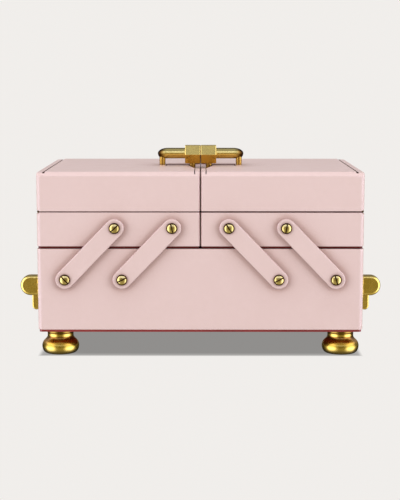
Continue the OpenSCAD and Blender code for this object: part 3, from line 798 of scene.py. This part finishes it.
def in_groove(side):
    """A test for the faces inside the grooves of a lid's top, and for the walls of its recess, which
    get painted shade.
    """
    def near(value, low, high):
        return low - GROOVE_MARGIN < value < high + GROOVE_MARGIN

    def inside(c):
        x, y = SIDES[side] * c.x, abs(c.y)
        bottom = TOP_HIGH.z - GROOVE_DEEP
        outer = near(x, *OUTER_GROOVE) and y < OUTER_GROOVE_Y
        inner = near(x, *INNER_GROOVE) and y > WELL_MOUTH_Y
        long_sides = near(x, WELL_NECK_X, WELL_END_X) and near(y, WELL_Y - GROOVE_W, WELL_Y)
        far_side = near(x, WELL_END_X - GROOVE_W, WELL_END_X) and y < WELL_Y
        in_recess = SEAM_MARGIN < x < WELL_NECK_X + MARGIN and y < WELL_MOUTH_Y + MARGIN
        recess_wall = in_recess and c.z > bottom + MARGIN
        below_top = bottom - MARGIN < c.z < TOP_HIGH.z - GROOVE_PAINT_TOP
        return below_top and (outer or inner or long_sides or far_side or recess_wall)
    return inside


def lid(side):
    k = SIDES[side]
    z0, z1 = LID_LOW.z, TOP_HIGH.z
    obj = mesh_object(side + "_lid_case", lofted(lid_rings(side), k))
    mouth, well = WELL_MOUTH_Y - HAIR, WELL_Y - HAIR
    outlines = [
        well_outline(),
        panel_outline(),
        rectangle(*OUTER_GROOVE, -OUTER_GROOVE_Y, OUTER_GROOVE_Y),
        rectangle(*INNER_GROOVE, -INNER_GROOVE_Y, -mouth),
        rectangle(*INNER_GROOVE, mouth, INNER_GROOVE_Y),
    ]
    cutters = [prism(outline, z1 - GROOVE_DEEP, z1 + PAST, k) for outline in outlines]
    panel = rectangle(WELL_NECK_X - HAIR, WELL_END_X - HAIR, -well, well)
    cutters += [
        prism(panel, z1 - PANEL_DROP, z1 + PAST, k),
        end_cutter(k, OUTER_GROOVE_X, z1 - END_STRIP_DROP, z1 + PAST),
        end_cutter(k, LEAF_X, z0 - PAST, HINGE.z + LID_REBATE),
        leaf_seat(k, z0 - PAST, z0 + LEAF_T),
    ]
    cut(obj, cutters)
    soften(obj, SHELL_BEVEL)
    paint_faces(obj, lined(side), 1)
    # The faces in the grooves and on the recess walls get painted shade.
    paint_faces(obj, in_groove(side), 2)
    nodes = [side + "_lid_frame", side + "_lid_top"]
    dress(obj, side + "_lid", [PINK, LINING, GROOVE], nodes)


def tray_divider(side):
    """A thin board with a rounded top edge across the middle of a tray."""
    node = side + "_tray_divider"
    low, high = box_mm(node)
    radius = DIVIDER_TOP_R
    section = [(high.y, low.z)] + arc(high.y - radius, high.z - radius, radius, 0, 90, 5)
    section += arc(low.y + radius, high.z - radius, radius, 90, 180, 5) + [(low.y, low.z)]
    bm = lofted([[(x, y, z) for y, z in section] for x in (low.x, high.x)])
    piece(node + "_board", bm, side + "_tray", LINING, node)


def felt_and_shade_strips():
    """Dark felt on the meeting faces of the trays and of the lids, which closes the seam to light. Its
    dark colour also stands in for the shade in the seam: painted shade.
    """
    y = HALF_D - FELT_INSET
    heights = {"tray": (TRAY_LOW.z, TRAY_HIGH.z), "lid": (LID_LOW.z, TOP_HIGH.z - GROOVE_DEEP)}
    for side, k in SIDES.items():
        for part, (z0, z1) in heights.items():
            strip = side_block(k, (FELT_GAP, -y, z0 + FELT_INSET), (SEAM, y, z1 - FELT_INSET))
            obj = mesh_object(side + "_" + part + "_seam_felt_and_shade", strip)
            dress(obj, side + "_" + part, [FELT_AND_SHADE], [])


def hexagon(x, radius):
    """A ring round the sleeves' axis, with a flat on top."""
    turn = [math.radians(60 * i) for i in range(6)]
    return [(x, radius * math.cos(a), HEX_Z + radius * math.sin(a)) for a in turn]


def sleeve_felt_and_shade_hexagons():
    """A thin hexagon of dark felt on the meeting face of each sleeve, whose dark colour also stands in
    for the shade between the sleeves: painted shade.
    """
    for side, k in SIDES.items():
        rings = [hexagon(x, HEX_R - SLEEVE_FELT_INSET) for x in (FELT_GAP, SEAM)]
        obj = mesh_object(side + "_sleeve_felt_and_shade", lofted(rings, k))
        dress(obj, side + "_lid", [FELT_AND_SHADE], [])


# ---- Arms ----

def stadium(lower, upper, half_width, y, steps=20):
    """The outline of a flat bar with round ends, in the plane at depth y."""
    lean = math.degrees(math.atan2(upper.z - lower.z, upper.x - lower.x))
    points = arc(upper.x, upper.z, half_width, lean - 90, lean + 90, steps)
    points += arc(lower.x, lower.z, half_width, lean + 90, lean + 270, steps)
    return [(x, y, z) for x, z in points]


def arm(side, face, name, pivot):
    k, f = SIDES[side], FACES[face]
    lower = Vector((k * pivot.x, 0, pivot.z))
    upper = Vector((k * (pivot.x + ARM_SPAN.x), 0, pivot.z + ARM_SPAN.z))
    depth = arc(ARM_BACK_EDGE_R, ARM_BACK + ARM_BACK_EDGE_R, ARM_BACK_EDGE_R, 270, 180, 3)
    depth += arc(ARM_EDGE_R, ARM_FRONT - ARM_EDGE_R, ARM_EDGE_R, 180, 90, 6)
    rings = [stadium(lower, upper, ARM_W / 2 - inset, -f * (HALF_D + out)) for inset, out in depth]
    node = "_".join((side, face, name, "arm"))
    piece(node + "_bar", lofted(rings), side + "_" + name + "_arms", PINK, node)


def arms():
    for side in SIDES:
        for face in FACES:
            for name, pivot in zip(("outer", "inner"), LOWER_PIVOTS):
                arm(side, face, name, pivot)


# ---- Slotted screws ----

def screw_head():
    """A domed slotted head on +Z, in millimetres. Its rim and the walls of its slot are painted dark as
    painted shade.
    """
    dome_r = (SCREW_R ** 2 + SCREW_DOME ** 2) / (2 * SCREW_DOME)
    side_top = SCREW_H - SCREW_DOME - SCREW_SHOULDER
    profile = [(SCREW_R - SCREW_EDGE, 0), (SCREW_R, SCREW_EDGE), (SCREW_R, side_top)]
    for share in SCREW_RINGS:
        radius = SCREW_R * share
        profile.append((radius, SCREW_H - dome_r + math.sqrt(dome_r ** 2 - radius ** 2)))
    bm = bmesh.new()
    lathe(bm, profile)
    obj = mesh_object("screw_head", bm)
    slot = rectangle(-SCREW_R - PAST, SCREW_R + PAST, -SLOT_W / 2, SLOT_W / 2)
    cut(obj, [prism(slot, SCREW_H - SLOT_DEEP, SCREW_H + PAST)])
    soften(obj, SCREW_BEVEL)

    def dark(c):
        in_rim = math.hypot(c.x, c.y) > SCREW_R * SCREW_BRIGHT
        in_slot = abs(c.y) < SLOT_W / 2 + SLOT_MARGIN and c.z < SCREW_H - SLOT_DEEP + SLOT_DARK_H
        return in_rim or in_slot

    paint_faces(obj, dark, 1)
    return obj


def screws(head, name, body, row, node):
    """One row of pivot screws, front and back: row is a list of (x, z, turn)."""
    bm = bmesh.new()
    for x, z, turn in row:
        for f in FACES.values():
            y = -f * (HALF_D + ARM_FRONT + SCREW_GAP)
            seat = Matrix.Translation((x * MM, y * MM, z * MM))
            face_out = Matrix.Scale(f, 4, (0, 1, 0)) @ Matrix.Rotation(math.radians(90), 4, "X")
            spin = Matrix.Rotation(math.radians(turn), 4, "Z")
            screw = bmesh.new()
            screw.from_mesh(head.data)
            bmesh.ops.transform(screw, matrix=seat @ face_out @ spin, verts=screw.verts)
            if f < 0:
                bmesh.ops.reverse_faces(screw, faces=screw.faces)
            add_mesh(bm, screw)
    bmesh.ops.scale(bm, vec=(1 / MM, 1 / MM, 1 / MM), verts=bm.verts)
    obj = mesh_object(name, bm)
    shade_smooth(obj)
    dress(obj, body, [TURNED_Y, SHADE_PAINTED_BRASS], [node])


def all_screws():
    head = screw_head()
    lower = []
    for side, k in SIDES.items():
        upper = []
        turns = zip(SCREW_TURNS[side + "_lower"], SCREW_TURNS[side + "_upper"])
        for pivot, (low_turn, up_turn) in zip(LOWER_PIVOTS, turns):
            lower.append((k * pivot.x, pivot.z, low_turn))
            upper.append((k * (pivot.x + ARM_SPAN.x), pivot.z + ARM_SPAN.z, up_turn))
        screws(head, side + "_upper_pivot_screws", side + "_tray", upper, side + "_upper_arm_screws")
    screws(head, "lower_pivot_screws", "base", lower, "lower_arm_screws")
    bpy.data.objects.remove(head)


# ---- Feet ----

def foot_profile(shoulder_steps=7):
    """Bun, shoulder, neck, groove and collar of a turned foot, from the floor up."""
    top = FOOT_HIGH.z
    heel_w = BUN_R - BUN_FLAT_R
    profile = [(AXIS_R, 0)]
    for x, z in arc(0, 0, 1, -90, 0, 10):
        profile.append((BUN_FLAT_R + heel_w * x, BUN_WAIST_Z * (1 + z)))
    profile += arc(BUN_R - BUN_SECTION, BUN_WAIST_Z, BUN_SECTION, 0, BUN_TOP_TURN, 9)
    start = Vector(profile[-1])
    bend = Vector((FOOT_NECK_R, FOOT_NECK_Z - SHOULDER_BEND))
    end = Vector((FOOT_NECK_R, FOOT_NECK_Z))
    for i in range(1, shoulder_steps + 1):
        t = i / shoulder_steps
        profile.append((1 - t) ** 2 * start + 2 * t * (1 - t) * bend + t ** 2 * end)
    profile += [(FOOT_NECK_R + x, COLLAR_Z + z) for x, z in NECK_GROOVE]
    profile += arc(FOOT_COLLAR_R - COLLAR_EDGE_R, COLLAR_Z + COLLAR_EDGE_R, COLLAR_EDGE_R, -80, 0, 4)
    profile += [(FOOT_COLLAR_R, top), (AXIS_R, top)]
    return profile


def feet():
    for face in FACES:
        for side in SIDES:
            node = "foot_" + face + "_" + side
            low, high = box_mm(node)
            bm = bmesh.new()
            lathe(bm, foot_profile(), ((low.x + high.x) / 2, (low.y + high.y) / 2, 0), 64)
            piece(node + "_turned", bm, "base", FOOT_BRASS, node)


# ---- Top handles ----

def bar_ring(x, up, down, wide, steps=48):
    """A ring round the bar's axis, with its own reach upwards, downwards and to the front and back."""
    ring = []
    for i in range(steps):
        a = 2 * math.pi * i / steps
        rise = up if math.sin(a) > 0 else down
        ring.append((x, wide * math.cos(a), BAR_Z + rise * math.sin(a)))
    return ring


def handle_bar(side, steps=24):
    """A round bar whose end is egg-shaped, drawn down towards its tip."""
    end = BAR_HIGH.x
    longest = max(BAR_END_TOP, BAR_END_WIDE)
    rings = [bar_ring(x, BAR_R, BAR_R, BAR_R) for x in (BAR_LOW.x, end - longest)]

    def reach(x, length):
        t = max(0.0, (x - (end - length)) / length)
        return max(BAR_R * math.sqrt(max(0.0, 1 - t * t)), TIP_R)

    for i in range(1, steps + 1):
        x = end - longest * (1 - math.sin(math.radians(90 * i / steps)))
        ends = reach(x, BAR_END_TOP), reach(x, BAR_END_LOW), reach(x, BAR_END_WIDE)
        rings.append(bar_ring(x, *ends))
    bm, node = lofted(rings, SIDES[side]), side + "_handle_bar"
    piece(side + "_bar_turned", bm, side + "_lid", BAR_BRASS, node)


def hex_sleeve(side):
    """A hexagon sleeve with a flat on top, eased at its ends."""
    stations = (
        (HEX_LOW.x, HEX_SEAM_EASE), (HEX_LOW.x + HEX_SEAM_EASE, 0),
        (HEX_HIGH.x - HEX_END_EASE, 0), (HEX_HIGH.x, HEX_END_EASE),
    )
    rings = [hexagon(x, HEX_R - shrink) for x, shrink in stations]
    obj = mesh_object(side + "_sleeve_hexagon", lofted(rings, SIDES[side]))
    soften(obj, HEX_BEVEL, angle=30, segments=3)
    dress(obj, side + "_lid", [HEX_BRASS], [side + "_handle_hex_sleeve"])


def handle_posts(side):
    """Two turned posts, each with a small flare where it stands on the lid."""
    node = side + "_handle_posts"
    bottom = box_mm(node)[0].z
    spans = ((bottom, HEX_LOW.z + POST_IN_SLEEVE), (TOP_HIGH.z, BAR_Z - POST_UNDER_AXIS))
    bm = bmesh.new()
    for x, (foot, head) in zip(POST_X, spans):
        profile = [*POST_FOOT, (POST_SHAFT_R, head - foot), (TIP_R, head - foot)]
        lathe(bm, profile, (SIDES[side] * x, 0, foot), 32)
    piece(side + "_posts_turned", bm, side + "_lid", POST_BRASS, node)


# ---- Side handles ----

def lug_outline(k, inset, y):
    """Outline of a lug, flat against the plate and round at its outer end."""
    z = (PLATE_LOW.z + PLATE_HIGH.z) / 2
    x = HALF_W + PLATE_T / 2
    r = LUG_R - inset
    points = [(x, z - r)] + arc(PLATE_HIGH.x - LUG_R, z, r, -90, 90, 24) + [(x, z + r)]
    return [(k * px, y, pz) for px, pz in points]


def rounded_depth(thickness, radius, steps):
    """Both rounded edges of a flat bar, as (distance in, distance from its middle) points."""
    flat = thickness / 2 - radius
    return arc(radius, -flat, radius, 270, 180, steps) + arc(radius, flat, radius, 180, 90, steps)


def side_handle_plate(side):
    k = SIDES[side]
    bm = side_block(k, (HALF_W, *PLATE_LOW.yz), (HALF_W + PLATE_T, *PLATE_HIGH.yz))
    plate = mesh_object(side + "_plate_cast", bm)
    soften(plate, PLATE_BEVEL, segments=3)
    bm = bmesh.new()
    for f in FACES.values():
        depth = rounded_depth(LUG_T, LUG_EDGE_R, 6)
        loft(bm, [lug_outline(k, inset, f * LUG_Y + out) for inset, out in depth])
    dress(plate, "base", [CAST], [side + "_side_handle_plate"])
    piece(side + "_lugs_cast", bm, "base", CAST)


def bail_pins():
    """Pins through the lugs, flush with their outer faces, which carry the bails."""
    low, high = box_mm("bail_pins")
    radius = (high.z - low.z) / 2
    stations = (
        (BAIL_HIGH.y - BAIL_ARM_T, radius), (high.y - PIN_EDGE, radius),
        (high.y - PIN_SUNK, radius - PIN_EDGE),
    )
    bm = bmesh.new()
    for k in SIDES.values():
        for f in FACES.values():
            rings = []
            for out, r in stations:
                circle = arc(0, BAIL_PIVOT.z, r, 0, 345, 23)
                rings.append([(k * BAIL_PIVOT.x + x, -f * out, z) for x, z in circle])
            loft(bm, rings)
    piece("bail_pins_round", bm, "base", TURNED_Y, "bail_pins")


def bail(side):
    """The swinging handle: a round grip between two flat arms with round ends."""
    x = SIDES[side] * BAIL_PIVOT.x
    upper = Vector((x, 0, BAIL_PIVOT.z))
    lower = Vector((x, 0, BAIL_PIVOT.z - BAIL_DROP))
    bm = bmesh.new()
    for f in FACES.values():
        depth = rounded_depth(BAIL_ARM_T, BAIL_EDGE_R, 5)
        y = f * BAIL_ARM_Y
        loft(bm, [stadium(lower, upper, BAIL_R - inset, y + out, 16) for inset, out in depth])
    grip = bmesh.new()
    stations = (-1, -0.5, 0, 0.5, 1)
    lathe(grip, [(BAIL_R - GRIP_TAPER * abs(share), BAIL_ARM_Y * share) for share in stations])
    turn = Matrix.Rotation(math.radians(90), 4, "X")
    bmesh.ops.transform(grip, matrix=Matrix.Translation(lower) @ turn, verts=grip.verts)
    add_mesh(bm, grip)
    piece(side + "_bail_cast", bm, side + "_bail", CAST, side + "_bail")


# ---- CAD nodes that stay, with better materials ----

def finish_frame_nodes():
    kept = {
        "base_bottom_board": RED,
        "foot_screws": TURNED,
        "lower_arm_washers": TURNED_Y,
        "side_handle_screws": TURNED_X,
    }
    for side in SIDES:
        kept[side + "_tray_bottom_board"] = TRAY_RED_SHADED
        kept[side + "_upper_arm_washers"] = TURNED_Y
        kept[side + "_handle_screws"] = TURNED
        for name in ("hinge_tray_leaf", "hinge_lid_leaf", "hinge_pin"):
            kept[side + "_" + name] = HINGE_SHADE_BRASS
    for node, material in kept.items():
        obj = frame["nodes"][node]
        obj.data.materials.clear()
        obj.data.materials.append(material)


# ---- Camera ----

# The photo's camera, as fitted to the box's edges, in metres and degrees. The lens is in millimetres.
CAMERA_PLACE = (0.00334, -1.3855, 0.2799)
CAMERA_DOWN = 7.719
CAMERA_TURN = 0.165
CAMERA_LENS = 95.53


def camera():
    data = bpy.data.cameras.new("camera")
    data.lens = CAMERA_LENS
    obj = bpy.data.objects.new("camera", data)
    obj.location = CAMERA_PLACE
    obj.rotation_euler = (math.radians(90 - CAMERA_DOWN), 0, math.radians(CAMERA_TURN))
    bpy.context.scene.collection.objects.link(obj)
    bpy.context.scene.camera = obj


# ---- Floor and light ----

BACKDROP = (0.877, 0.855, 0.831)
# The floor gives the box less light than the camera sees in it.
FLOOR_BOUNCE = 0.64
FLOOR_HALF = 9000
# The shade under the box is this bright, and fades out between these distances from the base's outline,
# in millimetres, with outwards as positive.
SHADE_UNDER_BOX = 0.32
SHADE_FADE = (-14, -3, 1)

# Light from the sky by height, from -1 to 1: what falls on the pieces, and what the metal mirrors.
SOFT_LIGHT = (
    (-1, (0.52, 0.508, 0.496)), (0, (1.42, 1.39, 1.355)),
    (0.5, (0.82, 0.802, 0.782)), (1, (0.62, 0.606, 0.592)),
)
ROOM_IN_METAL = (
    (-1, (0.45, 0.44, 0.35)), (-0.6, (0.6, 0.58, 0.48)), (-0.35, (0.4, 0.37, 0.24)),
    (-0.15, (0.32, 0.29, 0.14)), (0.18, (0.3, 0.27, 0.16)), (0.34, (0.6, 0.62, 0.9)),
    (0.42, (2.1, 2.4, 4.2)), (0.54, (2.1, 2.4, 4.2)), (0.6, (0.44, 0.48, 0.66)),
    (1, (0.44, 0.5, 0.78)),
)
# Behind the box the room fades to a dark one between these Y parts of a direction, apart from a band
# over the horizon.
BEHIND = (0.05, 0.6)
DARK_BEHIND = 0.15
NONE, ALL = (0, 0, 0), (1, 1, 1)
LIT_BEHIND = ((-1, NONE), (-0.15, NONE), (0, ALL), (0.25, ALL), (0.38, NONE), (1, NONE))
# Bright panels in the metal, to the left and right of the front: each is full near its middle and ends
# softly, across and upwards.
PANEL_IN_METAL = (3.7, 4.0, 5.2)
PANEL_AZIMUTH = math.radians(65)
PANEL_TO_LEFT = math.radians(-1)
PANEL_ACROSS = (0.2, math.radians(44))
PANEL_UPWARDS = (0.45, 0.85)

# Softboxes: azimuth from the front (to the right is positive) and elevation, in degrees, then distance,
# width and height in metres, and power in watts.
SOFTBOXES = {
    "left": (-60, 6, 1.7, 0.8, 1.0, 12),
    "right": (60, 6, 1.7, 0.8, 1.0, 11.2),
    "top": (0, 81, 0.85, 1.0, 0.3, 1.6),
    "back_left": (-130, 25, 1.8, 0.7, 0.9, 5),
    "back_right": (130, 25, 1.8, 0.7, 0.9, 5),
}
SOFTBOX_COLOUR = (1, 0.985, 0.96)
SOFTBOX_TARGET = (0, 0, 0.09)


def floor():
    """A pale floor that looks evenly bright, apart from a shade under the base as it stands at rest, and
    that gives only a soft light to the box."""
    bm = bmesh.new()
    corners = rectangle(-FLOOR_HALF, FLOOR_HALF, -FLOOR_HALF, FLOOR_HALF)
    bm.faces.new([bm.verts.new((x, y, 0)) for x, y in corners])
    obj = mesh_object("floor", bm)
    material, shader = new_material("pale_floor")
    nodes = material.node_tree.nodes
    nodes.remove(shader)
    place = axes(material)
    outside = []
    for axis, half_size in (("X", HALF_W), ("Y", HALF_D)):
        distance = math_node(material, "ABSOLUTE", place[axis])
        outside.append(math_node(material, "SUBTRACT", distance, half_size * MM))
    edge = math_node(material, "MAXIMUM", *outside)
    start, middle, end = [distance * MM for distance in SHADE_FADE]
    inner = remap(material, edge, start, middle, SHADE_UNDER_BOX, 0.5)
    fringe = remap(material, edge, middle, end, 0, 0.5)
    shade = math_node(material, "ADD", inner, fringe)
    path = add_node(material, "ShaderNodeLightPath")
    bounced = [FLOOR_BOUNCE * c for c in BACKDROP]
    seen = mix_colours(material, path.outputs["Is Camera Ray"], bounced, BACKDROP)
    glow = add_node(material, "ShaderNodeEmission")
    link(material, mix_colours(material, shade, (0, 0, 0), seen), glow.inputs["Color"])
    link(material, glow.outputs["Emission"], nodes["Material Output"].inputs["Surface"])
    obj.data.materials.append(material)
    obj.visible_glossy = False


def side_panels(sky, direction):
    """How much of the two side panels is seen in a direction."""
    turn = math_node(sky, "ARCTAN2", direction["X"], math_node(sky, "MULTIPLY", direction["Y"], -1.0))
    turn = math_node(sky, "ABSOLUTE", math_node(sky, "ADD", turn, PANEL_TO_LEFT))
    off = math_node(sky, "ABSOLUTE", math_node(sky, "SUBTRACT", turn, PANEL_AZIMUTH))
    height = math_node(sky, "ABSOLUTE", direction["Z"])
    across = remap(sky, off, *PANEL_ACROSS, 1, 0, smooth=True)
    upwards = remap(sky, height, *PANEL_UPWARDS, 1, 0, smooth=True)
    return math_node(sky, "MULTIPLY", across, upwards)


def background(sky, colour):
    node = add_node(sky, "ShaderNodeBackground")
    feed(sky, colour, node.inputs["Color"])
    return node.outputs["Background"]


def mix_shaders(sky, factor, shader_a, shader_b):
    node = add_node(sky, "ShaderNodeMixShader")
    for source, socket in zip((factor, shader_a, shader_b), node.inputs):
        link(sky, source, socket)
    return node.outputs["Shader"]


def world():
    """An even pale backdrop for the camera, a soft light from all round, and a dimmer room in the metal,
    which is darker behind the box."""
    sky = bpy.data.worlds.new("studio")
    bpy.context.scene.world = sky
    sky.use_nodes = True
    sky.node_tree.nodes.clear()
    direction = axes(sky, "Generated")
    height = direction["Z"]
    room = mix_colours(
        sky, side_panels(sky, direction), colour_ramp(sky, height, ROOM_IN_METAL), PANEL_IN_METAL)
    behind = remap(sky, direction["Y"], *BEHIND, 1, DARK_BEHIND)
    lit = math_node(sky, "MAXIMUM", behind, colour_ramp(sky, height, LIT_BEHIND))
    in_metal = background(sky, mix_colours(sky, lit, (0, 0, 0), room))
    on_pieces = background(sky, colour_ramp(sky, height, SOFT_LIGHT))
    path = add_node(sky, "ShaderNodeLightPath").outputs
    unseen = mix_shaders(sky, path["Is Glossy Ray"], on_pieces, in_metal)
    seen = mix_shaders(sky, path["Is Camera Ray"], unseen, background(sky, BACKDROP))
    output = add_node(sky, "ShaderNodeOutputWorld")
    link(sky, seen, output.inputs["Surface"])


def softbox(name, azimuth, elevation, distance, width, height, power):
    """An area light that faces the box, and that the metal does not mirror: it mirrors the panels."""
    data = bpy.data.lights.new(name, "AREA")
    data.shape = "RECTANGLE"
    data.size = width
    data.size_y = height
    data.energy = power
    data.color = SOFTBOX_COLOUR
    obj = bpy.data.objects.new(name, data)
    a, e = math.radians(azimuth), math.radians(elevation)
    away = Vector((math.sin(a) * math.cos(e), -math.cos(a) * math.cos(e), math.sin(e)))
    obj.location = Vector(SOFTBOX_TARGET) + distance * away
    obj.rotation_euler = away.to_track_quat("Z", "Y").to_euler()
    obj.visible_glossy = False
    bpy.context.scene.collection.objects.link(obj)


camera()
floor()
world()
for name, setting in SOFTBOXES.items():
    softbox("softbox_" + name, *setting)
bpy.context.scene.view_settings.view_transform = "Standard"

base_case()
for side_name in SIDES:
    tray_case(side_name)
    tray_divider(side_name)
    lid(side_name)
    handle_bar(side_name)
    hex_sleeve(side_name)
    handle_posts(side_name)
    side_handle_plate(side_name)
    bail(side_name)
felt_and_shade_strips()
sleeve_felt_and_shade_hexagons()
arms()
all_screws()
feet()
bail_pins()
finish_frame_nodes()
